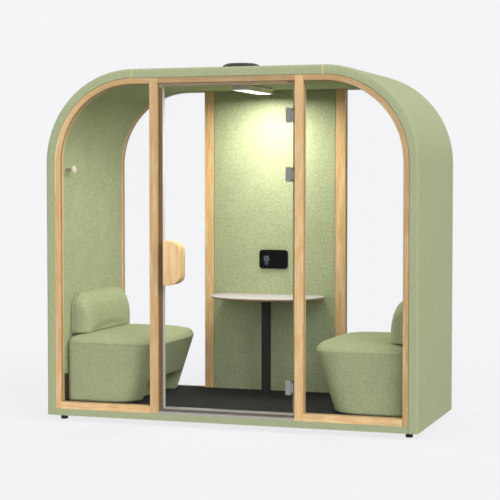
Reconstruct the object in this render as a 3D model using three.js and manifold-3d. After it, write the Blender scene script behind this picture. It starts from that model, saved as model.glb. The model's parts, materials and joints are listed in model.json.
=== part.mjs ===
// Acoustic office pod: an arched, fabric-covered shell on a plinth, with timber frames, glass,
// a frameless door, two upholstered benches, a table, a lamp and a roof vent.
// Millimetres. X runs to the right, Y from the door to the back, Z up from the ground.
import * as THREE from 'three';
import Module from 'manifold-3d';
import { mergeVertices } from 'three/addons/utils/BufferGeometryUtils.js';

const wasm = await Module();
wasm.setup();

// Clearance between pieces that touch
const FIT = 0.3;

// Shell
const WIDTH = 2422;
const DEPTH = 1060;
const BODY_HEIGHT = 2200; // underside of the walls to the top of the roof
const CORNER_RADIUS = 588; // outer radius of the arched corners
const CORNER_STEPS = 18;
const SHELL = 60; // thickness of walls and roof
const SHELL_ROLL = 16; // roll of the fabric over the outer edges
const SHELL_ARRIS = 4; // roll of the fabric beside the timber
const ROLL_STEPS = 4;
const SEAM = 6; // brass strip between corner and roof
const LINING = 32; // inner wall and ceiling panels

// Base
const LIFT = 36; // ground to the underside of plinth and walls
const PLINTH = 42;
const DECK = 30;
const CARPET = 6;
const FOOT_INSET_X = 73; // wall face to foot axis
const FOOT_INSET_Y = 102;
const FOOT_RADIUS = 23;
const FOOT_PAD = 24;
const FOOT_CHAMFER = 2;
const STUD_RADIUS = 7;
const STUD_CLEARANCE = 0.5;
const STUD_ENGAGEMENT = 32;
const NUT_RADIUS = 12;
const NUT = 8;

// Timber frames and fixed glass
const FRAME_FACE = 34;
const FRAME_DEPTH = 62;
const ARRIS = 2; // broken edge of the timber
const GLASS = 10;
const GLASS_SETBACK = 20; // outer face of a frame to the glass
const GROOVE = 10; // depth of the glazing groove
const PANE_END_GAP = 1; // glass edge to the bottom of its groove
const MULLION = 54;
const MULLION_X = 473;
const SILL = 43;
const POST = 67;
const POST_X = 463.5;
const BACK_PANEL = 50;
const BACK_PANEL_ROLL = 6;

// Door
const DOOR_SETBACK = 12; // front of the frames to the front of the leaf
const DOOR_GAP = 8; // leaf to mullion, and to the head above
const STOP_FACE = 17;
const STOP_SETBACK = 27; // front of the frames to the stop
const SEAL_FACE = 12;
const LATCH_STOP = 27; // down the handle side of the door
const LATCH_SEAL = 25;
const NOSE = 14; // height of the threshold's front lip
const THRESHOLD = 40;
const THRESHOLD_INSET = 2;
const LEAF_LIFT = 4; // threshold lip to the leaf's lower edge
const LOWER_HINGE_RISE = 242; // hinge centre above the shell's underside
const MIDDLE_HINGE_DROP = 660; // hinge centres below the top of the shell
const UPPER_HINGE_DROP = 301;
const HINGE_HEIGHTS = [LOWER_HINGE_RISE, BODY_HEIGHT - MIDDLE_HINGE_DROP, BODY_HEIGHT - UPPER_HINGE_DROP];
const HINGE_HEIGHT = 90;
const HINGE_AXIS_GAP = 12; // mullion to the pin's axis
const HINGE_PLATE = 36;
const HINGE_PLATE_THICK = 4.5;
const HINGE_CORNER = 8;
const HINGE_BLOCK = 10;
const BARREL_RADIUS = 6.5;
const BARREL_HEIGHT = 56;
const BARREL_GAP = 4.5; // barrel to the clamp's plates
const PIN_RADIUS = 3;
const RUNNING_CLEARANCE = 0.06;
const HINGE_LEAF_THICK = 4;
const HINGE_LEAF_WIDTH = 15;
const HANDLE_HEIGHT = 280;
const HANDLE_WIDTH = 113;
const HANDLE_THICK = 46;
const HANDLE_EDGE_GAP = 39; // free edge of the leaf to the handle
const HANDLE_Z = 990; // handle centre above the shell's underside
const HANDLE_ROUND = 5;

// Lamp
const LAMP_WIDTH = 110;
const LAMP_LENGTH = 532;
const LAMP_HEIGHT = 33;
const LAMP_CORNER = 14;
const LAMP_SHADOW_GAP = 4;
const LAMP_Y = 16;
const LAMP_WALL = 6;
const DIFFUSER = 5;

// Roof vent and fan
const VENT_Y = -215;
const CAP_RADIUS = 126;
const CAP_TOP_RADIUS = 89;
const CAP_HEIGHT = 38; // roof to the top of the cap
const CAP_WALL = 4;
const CAP_GAP = 9; // roof to the cap's lower rim
const CAP_LEG = 10;
const DUCT_RADIUS = 78;
const DUCT_WALL = 3;
const FLANGE = 20;
const FLANGE_THICK = 3;
const MOTOR_RADIUS = 24;
const MOTOR_HEIGHT = 26;
const MOTOR_DEPTH = 66; // roof to the motor's underside
const SPOKE = 6;
const SPOKES = 3;
const ROTOR_HEIGHT = 24;
const BLADES = 7;
const BLADE_GAP = 5; // blade tip to the duct
const BLADE_THICK = 2.4;

// Table and control panel
const TABLE_HALF = 385;
const TABLE_REACH = 445;
const TABLE_POWER = 2.3; // squareness of the rounded front
const TABLE_HEIGHT = 655; // above the carpet
const TABLE_THICK = 18;
const TABLE_BEVEL = 8;
const COLUMN_RADIUS = 32;
const COLUMN_FROM_BACK = 170;
const COLUMN_PLATE = 70;
const COLUMN_PLATE_THICK = 5;
const PANEL_WIDTH = 200;
const PANEL_HEIGHT = 128;
const PANEL_CORNER = 24;
const PANEL_THICK = 14;
const PANEL_ROLL = 3;
const PANEL_Z = 970; // panel centre above the shell's underside

// Benches
const SEAT_END_GAP = 93; // from the open faces of the shell to the ends of a bench
const SEAT_HALF = DEPTH / 2 - SEAT_END_GAP;
const SEAT_REACH = 615; // lining to the front of the seat
const FOOT_REACH = 490; // lining to the front of the base at the carpet
const SEAT_POWER = 4.2; // squareness of the rounded front corners
const SEAT_ROUND = 290; // length of the rounded front
const SEAT_CORNER = 42; // rounding of the corners at the wall
const BASE_HEIGHT = 376;
const BASE_ROLL = 14;
const PAD_HEIGHT = 66;
const PAD_TUCK = 3; // how far the pad draws in at its seam
const KICK_INSET = 137; // from the ends of a bench
const KICK_HALF = SEAT_HALF - KICK_INSET;
const KICK_HEIGHT = 132; // at the front of the base
const KICK_BACK_HEIGHT = 106;
const KICK_DEPTH = 90;
const CUSHION_INSET = 65; // from the ends of a bench
const CUSHION_HALF = SEAT_HALF - CUSHION_INSET;
const CUSHION_HEIGHT = 287;
const CUSHION_THICK = 128;
const CUSHION_RISE = 44; // seam of the seat pad to the lowest edge of the cushion
const CUSHION_POWER = 3.2; // how the front of the cushion leans back towards its top
const CUSHION_CORNER = 108; // at the top
const CUSHION_FOOT = 34; // on the seat
const CUSHION_END = 74; // how far its ends round away towards the front
const CUSHION_STEPS = 8;

// Coat hook
const HOOK_DROP = 627; // below the top of the shell
const HOOK_FROM_FRONT = 120;
const HOOK_REACH = 58;
const HOOK_STEM = 8;
const HOOK_KNOB = 24;
const HOOK_HEAD = 22; // length of the knob
const HOOK_ROSE = 6; // flare at the wall

// Places worked out from the sizes
const side = WIDTH / 2;
const front = -DEPTH / 2;
const back = DEPTH / 2;
const top = LIFT + BODY_HEIGHT;
const spring = top - CORNER_RADIUS; // where the walls start to curve
const crown = side - CORNER_RADIUS; // where the corners meet the flat roof
const roofEnd = crown - SEAM - 2 * FIT;
const plinthTop = LIFT + PLINTH;
const deckTop = plinthTop + DECK; // also the top of the sill under the back glass
const carpetTop = deckTop + CARPET;
const wallFace = side - SHELL - LINING;
const ceiling = top - SHELL - LINING;
const frameOuter = SHELL + FIT; // depth of the frames below the shell's outer face
const frameInner = SHELL + FRAME_FACE;
const frontInside = front + FRAME_DEPTH;
const backInside = back - FRAME_DEPTH;
const mullionInner = MULLION_X - MULLION / 2;
const mullionOuter = MULLION_X + MULLION / 2;
const postInner = POST_X - POST / 2;
const postOuter = POST_X + POST / 2;
const headBottom = top - frameInner;
const sillTop = plinthTop + SILL;
const grooveWidth = GLASS + 2 * FIT;
const frontGroove = front + GLASS_SETBACK;
const backGroove = back - GLASS_SETBACK - grooveWidth;
const doorFront = front + DOOR_SETBACK;
const doorBack = doorFront + GLASS;
const doorMiddle = (doorFront + doorBack) / 2;
const doorEdge = mullionInner - DOOR_GAP;
const doorBottom = plinthTop + NOSE + LEAF_LIFT;
const doorTop = headBottom - DOOR_GAP;
const stopFront = front + STOP_SETBACK;
const stopInner = mullionInner - STOP_FACE;
const thresholdTop = plinthTop + THRESHOLD;
const hingeX = mullionInner - HINGE_AXIS_GAP;
const handleReach = HANDLE_THICK + FIT - DOOR_SETBACK; // handle in front of the frames
const seatTop = carpetTop + BASE_HEIGHT;
const footX = side - FOOT_INSET_X;
const footY = back - FOOT_INSET_Y;

// Finishes
const fabric = { color: 0xaab38c, roughness: 0.95, metalness: 0 };
const timber = { color: 0xdebb8a, roughness: 0.6, metalness: 0 };
const clear = { color: 0xf0f4f4, roughness: 0.05, metalness: 0, transparent: true, opacity: 0.25 };
const brass = { color: 0xc3b978, roughness: 0.35, metalness: 0.9 };
const champagne = { color: 0x95908a, roughness: 0.45, metalness: 0.8 };
const hingeGrey = { color: 0x878582, roughness: 0.4, metalness: 0.8 };
const blackMetal = { color: 0x20211f, roughness: 0.5, metalness: 0.4 };
const blackPlastic = { color: 0x18191b, roughness: 0.4, metalness: 0 };
const rubber = { color: 0x3a3733, roughness: 0.9, metalness: 0 };
const charcoal = { color: 0x383935, roughness: 1, metalness: 0 };
const plywood = { color: 0xb89a6a, roughness: 0.8, metalness: 0 };
const white = { color: 0xece6de, roughness: 0.4, metalness: 0 };
const taupe = { color: 0x9a8f80, roughness: 0.5, metalness: 0.3 };
const glow = { color: 0xfffff0, roughness: 0.6, metalness: 0, emissive: 0xfff8e0 };

const pod = new THREE.Group();

function piece(name, geometry, finish) {
  const mesh = new THREE.Mesh(geometry, new THREE.MeshStandardMaterial(finish));
  mesh.name = name;
  pod.add(mesh);
}

// Boolean joins and cuts
function toSolid(geometry) {
  const bare = geometry.clone();
  bare.deleteAttribute('normal');
  bare.deleteAttribute('uv');
  const merged = mergeVertices(bare, 1e-4);
  return new wasm.Manifold(new wasm.Mesh({
    numProp: 3,
    vertProperties: new Float32Array(merged.attributes.position.array),
    triVerts: new Uint32Array(merged.index.array),
  }));
}

function toGeometry(solid) {
  const mesh = solid.getMesh();
  const geometry = new THREE.BufferGeometry();
  geometry.setAttribute('position', new THREE.BufferAttribute(mesh.vertProperties, 3));
  geometry.setIndex(new THREE.BufferAttribute(mesh.triVerts, 1));
  geometry.computeVertexNormals();
  return geometry;
}

function join(...geometries) {
  return toGeometry(geometries.map(toSolid).reduce((whole, solid) => whole.add(solid)));
}

function cut(geometry, ...tools) {
  return toGeometry(tools.map(toSolid).reduce((rest, tool) => rest.subtract(tool), toSolid(geometry)));
}

// A box between two corners
function block(x0, x1, y0, y1, z0, z1) {
  const box = new THREE.BoxGeometry(x1 - x0, y1 - y0, z1 - z0);
  return box.translate((x0 + x1) / 2, (y0 + y1) / 2, (z0 + z1) / 2);
}

// An upright round bar
function rod(x, y, radius, z0, z1, sides = 20) {
  const bar = new THREE.CylinderGeometry(radius, radius, z1 - z0, sides);
  return bar.rotateX(Math.PI / 2).translate(x, y, (z0 + z1) / 2);
}

// A revolved profile of [radius, height] pairs about an upright axis
function turned(profile, x, y, sides = 32) {
  const points = profile.map(([radius, height]) => new THREE.Vector2(radius, height));
  return new THREE.LatheGeometry(points, sides).rotateX(Math.PI / 2).translate(x, y, 0);
}

// Extrusions of an outline: upright, along the depth, and along the width
function upright(outline, z0, z1, bevel = {}) {
  const options = { depth: z1 - z0, bevelEnabled: false, curveSegments: 4, ...bevel };
  return new THREE.ExtrudeGeometry(outline, options).translate(0, 0, z0);
}

function alongDepth(outline, y0, y1, bevel = {}) {
  const options = { depth: y1 - y0, bevelEnabled: false, curveSegments: 4, ...bevel };
  return new THREE.ExtrudeGeometry(outline, options).rotateX(Math.PI / 2).translate(0, y1, 0);
}

function alongWidth(outline, x0, x1) {
  const geometry = new THREE.ExtrudeGeometry(outline, { depth: x1 - x0, bevelEnabled: false });
  const turn = new THREE.Matrix4().set(0, 0, 1, x0, 1, 0, 0, 0, 0, 1, 0, 0, 0, 0, 0, 1);
  return geometry.applyMatrix4(turn);
}

function polygon(pairs) {
  return new THREE.Shape(pairs.map(([a, b]) => new THREE.Vector2(a, b)));
}

function roundedRectangle(halfWidth, halfHeight, radius) {
  const outline = new THREE.Shape();
  outline.absarc(halfWidth - radius, halfHeight - radius, radius, 0, Math.PI / 2);
  outline.absarc(radius - halfWidth, halfHeight - radius, radius, Math.PI / 2, Math.PI);
  outline.absarc(radius - halfWidth, radius - halfHeight, radius, Math.PI, Math.PI * 1.5);
  outline.absarc(halfWidth - radius, radius - halfHeight, radius, Math.PI * 1.5, Math.PI * 2);
  return outline;
}

// A rolled edge for extrusions that keeps the outline's outer size
function roll(radius, steps = 3) {
  return {
    bevelEnabled: true,
    bevelThickness: radius,
    bevelSize: radius,
    bevelOffset: -radius,
    bevelSegments: steps,
  };
}

// A closed skin through rings of matching points, with flat ends triangulated from one outline
function loft(rings, outline) {
  const count = outline.length;
  const corners = [];
  for (let r = 0; r + 1 < rings.length; r += 1) {
    for (let i = 0; i < count; i += 1) {
      const a = r * count + i;
      const b = r * count + ((i + 1) % count);
      corners.push(a, b, b + count, a, b + count, a + count);
    }
  }
  const last = (rings.length - 1) * count;
  const clockwise = THREE.ShapeUtils.isClockWise(outline);
  for (const [a, b, c] of THREE.ShapeUtils.triangulateShape(outline, [])) {
    if (clockwise) corners.push(a, b, c, last + a, last + c, last + b);
    else corners.push(a, c, b, last + a, last + b, last + c);
  }
  const points = rings.flat();
  let volume = 0;
  for (let i = 0; i < corners.length; i += 3) {
    const [a, b, c] = [points[corners[i]], points[corners[i + 1]], points[corners[i + 2]]];
    volume += a.dot(new THREE.Vector3().crossVectors(b, c));
  }
  if (volume < 0) corners.reverse();
  const geometry = new THREE.BufferGeometry().setFromPoints(points);
  geometry.setIndex(corners);
  geometry.computeVertexNormals();
  return geometry;
}

// Stations along the outer line of one wall: foot, arched corner, then along the roof to endX
function wallLine(hand, footZ, endX) {
  const line = [{ x: hand * side, z: footZ, nx: -hand, nz: 0 }];
  for (let step = 0; step <= CORNER_STEPS; step += 1) {
    const turn = (step / CORNER_STEPS) * (Math.PI / 2);
    const out = Math.cos(turn);
    const up = Math.sin(turn);
    line.push({
      x: hand * (crown + CORNER_RADIUS * out),
      z: spring + CORNER_RADIUS * up,
      nx: -hand * out,
      nz: -up,
    });
  }
  if (endX < crown) line.push({ x: hand * endX, z: top, nx: 0, nz: -1 });
  return line;
}

function roofLine(x0, x1) {
  return [x0, x1].map((x) => ({ x, z: top, nx: 0, nz: -1 }));
}

// Sweeps a section of (depth below the outer face, Y) points along stations
function sweep(section, line) {
  const rings = line.map((at) => section.map((p) => new THREE.Vector3(
    at.x + at.nx * p.x,
    p.y,
    at.z + at.nz * p.x,
  )));
  return loft(rings, section);
}

// Quarter-round corner points of a section, from one angle on
function cornerArc(x, y, radius, startAngle) {
  const points = [];
  for (let step = 0; step <= ROLL_STEPS; step += 1) {
    const angle = startAngle + (step / ROLL_STEPS) * (Math.PI / 2);
    points.push(new THREE.Vector2(x + radius * Math.cos(angle), y + radius * Math.sin(angle)));
  }
  return points;
}

function shellSection() {
  return [
    ...cornerArc(SHELL_ROLL, front + SHELL_ROLL, SHELL_ROLL, Math.PI),
    new THREE.Vector2(SHELL - SHELL_ARRIS, front),
    new THREE.Vector2(SHELL, front + SHELL_ARRIS),
    new THREE.Vector2(SHELL, back - SHELL_ARRIS),
    new THREE.Vector2(SHELL - SHELL_ARRIS, back),
    ...cornerArc(SHELL_ROLL, back - SHELL_ROLL, SHELL_ROLL, Math.PI / 2),
  ];
}

// Timber section with broken outer edges and a glazing groove in its inner face
function frameSection(outerY, innerY, groove) {
  const inward = Math.sign(innerY - outerY);
  const grooveOuter = inward > 0 ? groove : groove + grooveWidth;
  const grooveInner = inward > 0 ? groove + grooveWidth : groove;
  return [
    [frameOuter, outerY],
    [frameInner - ARRIS, outerY],
    [frameInner, outerY + inward * ARRIS],
    [frameInner, grooveOuter],
    [frameInner - GROOVE, grooveOuter],
    [frameInner - GROOVE, grooveInner],
    [frameInner, grooveInner],
    [frameInner, innerY],
    [frameOuter, innerY],
  ].map(([n, y]) => new THREE.Vector2(n, y));
}

// Upright timber between two bays, with a groove on its outer side
function uprightOutline(hand, inner, outer, outerY, innerY, groove) {
  const inward = Math.sign(innerY - outerY);
  const grooveOuter = inward > 0 ? groove : groove + grooveWidth;
  const grooveInner = inward > 0 ? groove + grooveWidth : groove;
  return polygon([
    [inner + ARRIS, outerY],
    [outer - ARRIS, outerY],
    [outer, outerY + inward * ARRIS],
    [outer, grooveOuter],
    [outer - GROOVE, grooveOuter],
    [outer - GROOVE, grooveInner],
    [outer, grooveInner],
    [outer, innerY],
    [inner, innerY],
    [inner, outerY + inward * ARRIS],
  ].map(([x, y]) => [hand * x, y]));
}

// Sill with a groove in its top
function sillOutline(y0, y1, z0, z1, groove) {
  return polygon([
    [y0, z0],
    [y1, z0],
    [y1, z1],
    [groove + grooveWidth, z1],
    [groove + grooveWidth, z1 - GROOVE],
    [groove, z1 - GROOVE],
    [groove, z1],
    [y0, z1],
  ]);
}

// Fixed pane of a side bay, let into the grooves around it
function pane(hand, uprightX, bottomZ, groove) {
  const bite = GROOVE - PANE_END_GAP;
  const offset = frameInner - bite;
  const edge = wallLine(hand, bottomZ - bite, uprightX - bite);
  const outline = edge.map((at) => [at.x + at.nx * offset, at.z + at.nz * offset]);
  outline.push([hand * (uprightX - bite), bottomZ - bite]);
  return alongDepth(polygon(outline), groove + FIT, groove + FIT + GLASS);
}

// Duct hole through roof and ceiling
function ductHole() {
  return rod(0, VENT_Y, DUCT_RADIUS + FIT, ceiling - LINING, top + SHELL, 32);
}

function addShell() {
  const section = shellSection();
  for (const [name, hand] of [['left', -1], ['right', 1]]) {
    piece(`${name}_wall_shell`, sweep(section, wallLine(hand, LIFT, crown)), fabric);
    const strip = roofLine(hand * (crown - FIT - SEAM), hand * (crown - FIT));
    piece(`${name}_seam_strip`, sweep(section, strip), brass);
  }
  piece('roof_panel', cut(sweep(section, roofLine(-roofEnd, roofEnd)), ductHole()), fabric);
}

function addLining() {
  const section = [
    [SHELL + FIT, frontInside + FIT],
    [SHELL + LINING, frontInside + FIT],
    [SHELL + LINING, backInside - FIT],
    [SHELL + FIT, backInside - FIT],
  ].map(([n, y]) => new THREE.Vector2(n, y));
  for (const [name, hand] of [['left', -1], ['right', 1]]) {
    piece(`${name}_lining`, sweep(section, wallLine(hand, deckTop + FIT, crown)), fabric);
  }
  const middle = sweep(section, roofLine(FIT - crown, crown - FIT));
  piece('ceiling_lining', cut(middle, ductHole()), fabric);
}

function addBase() {
  const halfWidth = side - SHELL - FIT;
  const socketTop = LIFT + STUD_ENGAGEMENT + STUD_CLEARANCE;
  const feet = [
    ['front_left', -footX, -footY],
    ['front_right', footX, -footY],
    ['back_left', -footX, footY],
    ['back_right', footX, footY],
  ];
  const sockets = feet.map(([, x, y]) => rod(x, y, STUD_RADIUS + STUD_CLEARANCE, LIFT - 1, socketTop));
  piece('plinth', cut(block(-halfWidth, halfWidth, front, back, LIFT, plinthTop), ...sockets), fabric);
  for (const [name, x, y] of feet) {
    const foot = turned([
      [0, 0],
      [FOOT_RADIUS - FOOT_CHAMFER, 0],
      [FOOT_RADIUS, FOOT_CHAMFER],
      [FOOT_RADIUS, FOOT_PAD - FOOT_CHAMFER],
      [FOOT_RADIUS - FOOT_CHAMFER, FOOT_PAD],
      [STUD_RADIUS, FOOT_PAD],
      [STUD_RADIUS, LIFT - FIT - NUT],
      [NUT_RADIUS, LIFT - FIT - NUT],
      [NUT_RADIUS, LIFT - FIT],
      [STUD_RADIUS, LIFT - FIT],
      [STUD_RADIUS, LIFT + STUD_ENGAGEMENT],
      [0, LIFT + STUD_ENGAGEMENT],
    ], x, y, 16);
    piece(`levelling_foot_${name}`, foot, blackPlastic);
  }
  const y0 = frontInside + FIT;
  const y1 = backInside - FIT;
  piece('floor_deck', block(-halfWidth, halfWidth, y0, y1, plinthTop + FIT, deckTop), plywood);
  const edge = wallFace - FIT;
  const bayOuter = side - frameInner - FIT;
  const bayInner = postOuter + FIT;
  const carpet = polygon([
    [-edge, y0],
    [edge, y0],
    [edge, y1],
    [bayOuter, y1],
    [bayOuter, backGroove],
    [bayInner, backGroove],
    [bayInner, y1],
    [-bayInner, y1],
    [-bayInner, backGroove],
    [-bayOuter, backGroove],
    [-bayOuter, y1],
    [-edge, y1],
  ]);
  piece('carpet', upright(carpet, deckTop + FIT, carpetTop), charcoal);
}

function addFrontFrame() {
  const section = frameSection(front, frontInside, frontGroove);
  const bottom = plinthTop + FIT;
  const sill = sillOutline(front, frontInside, bottom, sillTop, frontGroove);
  for (const [name, hand] of [['left', -1], ['right', 1]]) {
    const line = wallLine(hand, bottom, mullionOuter + FIT);
    piece(`front_${name}_stile`, sweep(section, line), timber);
    const outline = uprightOutline(hand, mullionInner, mullionOuter, front, frontInside, frontGroove);
    piece(`front_${name}_mullion`, upright(outline, bottom, top - frameOuter), timber);
    const [x0, x1] = [hand * (mullionOuter + FIT), hand * (side - frameInner - FIT)].sort((a, b) => a - b);
    piece(`front_${name}_sill`, alongWidth(sill, x0, x1), timber);
    piece(`front_${name}_glass`, pane(hand, mullionOuter, sillTop, frontGroove), clear);
  }
  const head = polygon([
    [front, headBottom + ARRIS],
    [front + ARRIS, headBottom],
    [frontInside, headBottom],
    [frontInside, top - frameOuter],
    [front, top - frameOuter],
  ]);
  piece('front_head_rail', alongWidth(head, FIT - mullionInner, mullionInner - FIT), timber);
}

function addBackFrame() {
  const section = frameSection(back, backInside, backGroove);
  const bottom = plinthTop + FIT;
  for (const [name, hand] of [['left', -1], ['right', 1]]) {
    const line = wallLine(hand, bottom, postOuter + FIT);
    piece(`back_${name}_stile`, sweep(section, line), timber);
    const outline = uprightOutline(hand, postInner, postOuter, back, backInside, backGroove);
    piece(`back_${name}_post`, upright(outline, deckTop + FIT, top - frameOuter), timber);
    piece(`back_${name}_glass`, pane(hand, postOuter, deckTop, backGroove), clear);
  }
  const sill = sillOutline(backInside, back, bottom, deckTop, backGroove);
  const sillEnd = side - frameInner - FIT;
  piece('back_sill', alongWidth(sill, -sillEnd, sillEnd), timber);
  const half = postInner - FIT;
  piece('back_head_rail', block(-half, half, backInside, back, headBottom, top - frameOuter), timber);
  const halfHeight = (headBottom - deckTop) / 2 - FIT;
  const padded = roundedRectangle(half, halfHeight, BACK_PANEL_ROLL * 2);
  const bevel = roll(BACK_PANEL_ROLL);
  const panelFront = backInside + BACK_PANEL_ROLL;
  const panelBack = backInside + BACK_PANEL - BACK_PANEL_ROLL;
  const panel = alongDepth(padded, panelFront, panelBack, bevel);
  piece('back_panel', panel.translate(0, 0, (headBottom + deckTop) / 2), fabric);
}

function addDoorFrame() {
  const outer = mullionInner - FIT;
  const latchStop = mullionInner - LATCH_STOP;
  const stop = polygon([
    [-outer, thresholdTop + FIT],
    [-latchStop, thresholdTop + FIT],
    [-latchStop, headBottom - STOP_FACE],
    [stopInner, headBottom - STOP_FACE],
    [stopInner, thresholdTop + FIT],
    [outer, thresholdTop + FIT],
    [outer, headBottom - FIT],
    [-outer, headBottom - FIT],
  ]);
  piece('door_stop_frame', alongDepth(stop, stopFront, frontInside), champagne);
  const lip = front + THRESHOLD_INSET;
  const step = polygon([
    [lip, plinthTop + FIT],
    [frontInside, plinthTop + FIT],
    [frontInside, thresholdTop],
    [stopFront + ARRIS, thresholdTop],
    [stopFront, thresholdTop - ARRIS],
    [stopFront, plinthTop + NOSE],
    [lip + ARRIS, plinthTop + NOSE],
    [lip, plinthTop + NOSE - ARRIS],
  ]);
  piece('door_threshold', alongWidth(step, -outer, outer), champagne);
  const sealInner = mullionInner - FIT - LATCH_SEAL;
  const sealTop = headBottom - FIT;
  const hingeSide = stopInner - HINGE_PLATE;
  const seal = polygon([
    [-outer, doorBottom],
    [hingeSide, doorBottom],
    [hingeSide, doorBottom + SEAL_FACE],
    [-sealInner, doorBottom + SEAL_FACE],
    [-sealInner, sealTop - SEAL_FACE],
    [hingeSide, sealTop - SEAL_FACE],
    [hingeSide, sealTop],
    [-outer, sealTop],
  ]);
  piece('door_seal', alongDepth(seal, doorBack + 2 * FIT, stopFront - FIT), rubber);
}

// Fixed hinge half: a plate on the mullion, two knuckles and the pin through them
function hingeLeaf(z) {
  const half = HINGE_HEIGHT / 2;
  const knuckle = BARREL_HEIGHT / 2 + FIT;
  const plateX = mullionInner - FIT - HINGE_LEAF_THICK;
  const y0 = doorMiddle - HINGE_LEAF_WIDTH / 2;
  const y1 = doorMiddle + HINGE_LEAF_WIDTH / 2;
  const plate = block(plateX, mullionInner - FIT, y0, y1, z - half, z + half);
  const parts = [plate, rod(hingeX, doorMiddle, PIN_RADIUS, z - half, z + half)];
  for (const [z0, z1] of [[z - half, z - knuckle], [z + knuckle, z + half]]) {
    parts.push(rod(hingeX, doorMiddle, BARREL_RADIUS, z0, z1));
    parts.push(block(hingeX, plateX + 1, doorMiddle - PIN_RADIUS, doorMiddle + PIN_RADIUS, z0, z1));
  }
  return join(...parts);
}

// Moving hinge half: two plates that clamp the glass, a block through its notch and the barrel
function hingeClamp(z) {
  const half = HINGE_HEIGHT / 2;
  const barrel = BARREL_HEIGHT / 2;
  const plateEnd = hingeX - BARREL_RADIUS - BARREL_GAP;
  const plateStart = plateEnd - HINGE_PLATE;
  const outerY = doorFront - FIT - HINGE_PLATE_THICK;
  const innerY = doorBack + FIT + HINGE_PLATE_THICK;
  const outline = roundedRectangle(HINGE_PLATE / 2, half, HINGE_CORNER).getPoints(2);
  const centred = polygon(outline.map((p) => [p.x + (plateStart + plateEnd) / 2, p.y + z]));
  const plates = [
    alongDepth(centred, outerY, doorFront - FIT),
    alongDepth(centred, doorBack + FIT, innerY),
  ];
  const blockStart = plateEnd - HINGE_BLOCK;
  const through = block(blockStart, plateEnd - 1, outerY + 1, innerY - 1, z - half + 10, z + half - 10);
  const y0 = doorMiddle - BARREL_RADIUS;
  const y1 = doorMiddle + BARREL_RADIUS;
  const web = block(blockStart, hingeX, y0, y1, z - barrel, z + barrel);
  const drum = rod(hingeX, doorMiddle, BARREL_RADIUS, z - barrel, z + barrel);
  const bore = rod(hingeX, doorMiddle, PIN_RADIUS + RUNNING_CLEARANCE, z - half, z + half);
  return cut(join(...plates, through, web, drum), bore);
}

// Glass leaf, notched round the three hinges
function doorLeaf() {
  const notch = hingeX - BARREL_RADIUS - BARREL_GAP - HINGE_BLOCK - FIT;
  const half = HINGE_HEIGHT / 2 + 1;
  const outline = [[-doorEdge, doorTop], [-doorEdge, doorBottom], [doorEdge, doorBottom]];
  for (const height of HINGE_HEIGHTS) {
    const z = LIFT + height;
    outline.push([doorEdge, z - half], [notch, z - half], [notch, z + half], [doorEdge, z + half]);
  }
  outline.push([doorEdge, doorTop]);
  return alongDepth(polygon(outline), doorFront, doorBack);
}

// Half of the pull: a thick D-shaped board with its straight side towards the free edge
function handleBoard(y0, y1) {
  const half = HANDLE_HEIGHT / 2;
  const outline = new THREE.Shape();
  outline.moveTo(0, -half);
  outline.bezierCurveTo(HANDLE_WIDTH * 0.55, -half, HANDLE_WIDTH, -half * 0.9, HANDLE_WIDTH, -half * 0.52);
  outline.lineTo(HANDLE_WIDTH, half * 0.52);
  outline.bezierCurveTo(HANDLE_WIDTH, half * 0.9, HANDLE_WIDTH * 0.55, half, 0, half);
  outline.closePath();
  const edges = { ...roll(HANDLE_ROUND), curveSegments: 10 };
  const board = alongDepth(outline, y0 + HANDLE_ROUND, y1 - HANDLE_ROUND, edges);
  return board.translate(HANDLE_EDGE_GAP - doorEdge, 0, LIFT + HANDLE_Z);
}

function addDoor() {
  piece('door_glass', doorLeaf(), clear);
  const names = ['lower', 'middle', 'upper'];
  for (const [index, name] of names.entries()) {
    const z = LIFT + HINGE_HEIGHTS[index];
    piece(`${name}_hinge_leaf`, hingeLeaf(z), hingeGrey);
    piece(`${name}_hinge_clamp`, hingeClamp(z), hingeGrey);
  }
  piece('outer_handle', handleBoard(doorFront - FIT - HANDLE_THICK, doorFront - FIT), timber);
  piece('inner_handle', handleBoard(doorBack + FIT, doorBack + FIT + HANDLE_THICK), timber);
}

function addLamp() {
  const upper = ceiling - LAMP_SHADOW_GAP;
  const lower = upper - LAMP_HEIGHT;
  const body = roundedRectangle(LAMP_WIDTH / 2, LAMP_LENGTH / 2, LAMP_CORNER);
  const halfWidth = LAMP_WIDTH / 2 - LAMP_WALL;
  const halfLength = LAMP_LENGTH / 2 - LAMP_WALL;
  const corner = LAMP_CORNER - LAMP_WALL;
  const pocket = roundedRectangle(halfWidth, halfLength, corner);
  const lens = roundedRectangle(halfWidth - FIT, halfLength - FIT, corner - FIT);
  const parts = [upright(body, lower, upper)];
  const spacer = LAMP_WIDTH / 4;
  for (const y of [-LAMP_LENGTH / 8, LAMP_LENGTH / 3]) {
    parts.push(block(-spacer, spacer, y - spacer, y + spacer, upper - 1, ceiling - FIT));
  }
  const recess = upright(pocket, lower - 1, lower + DIFFUSER);
  piece('lamp_housing', cut(join(...parts), recess).translate(0, LAMP_Y, 0), taupe);
  piece('lamp_diffuser', upright(lens, lower + 1, lower + DIFFUSER - FIT).translate(0, LAMP_Y, 0), glow);
}

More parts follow.
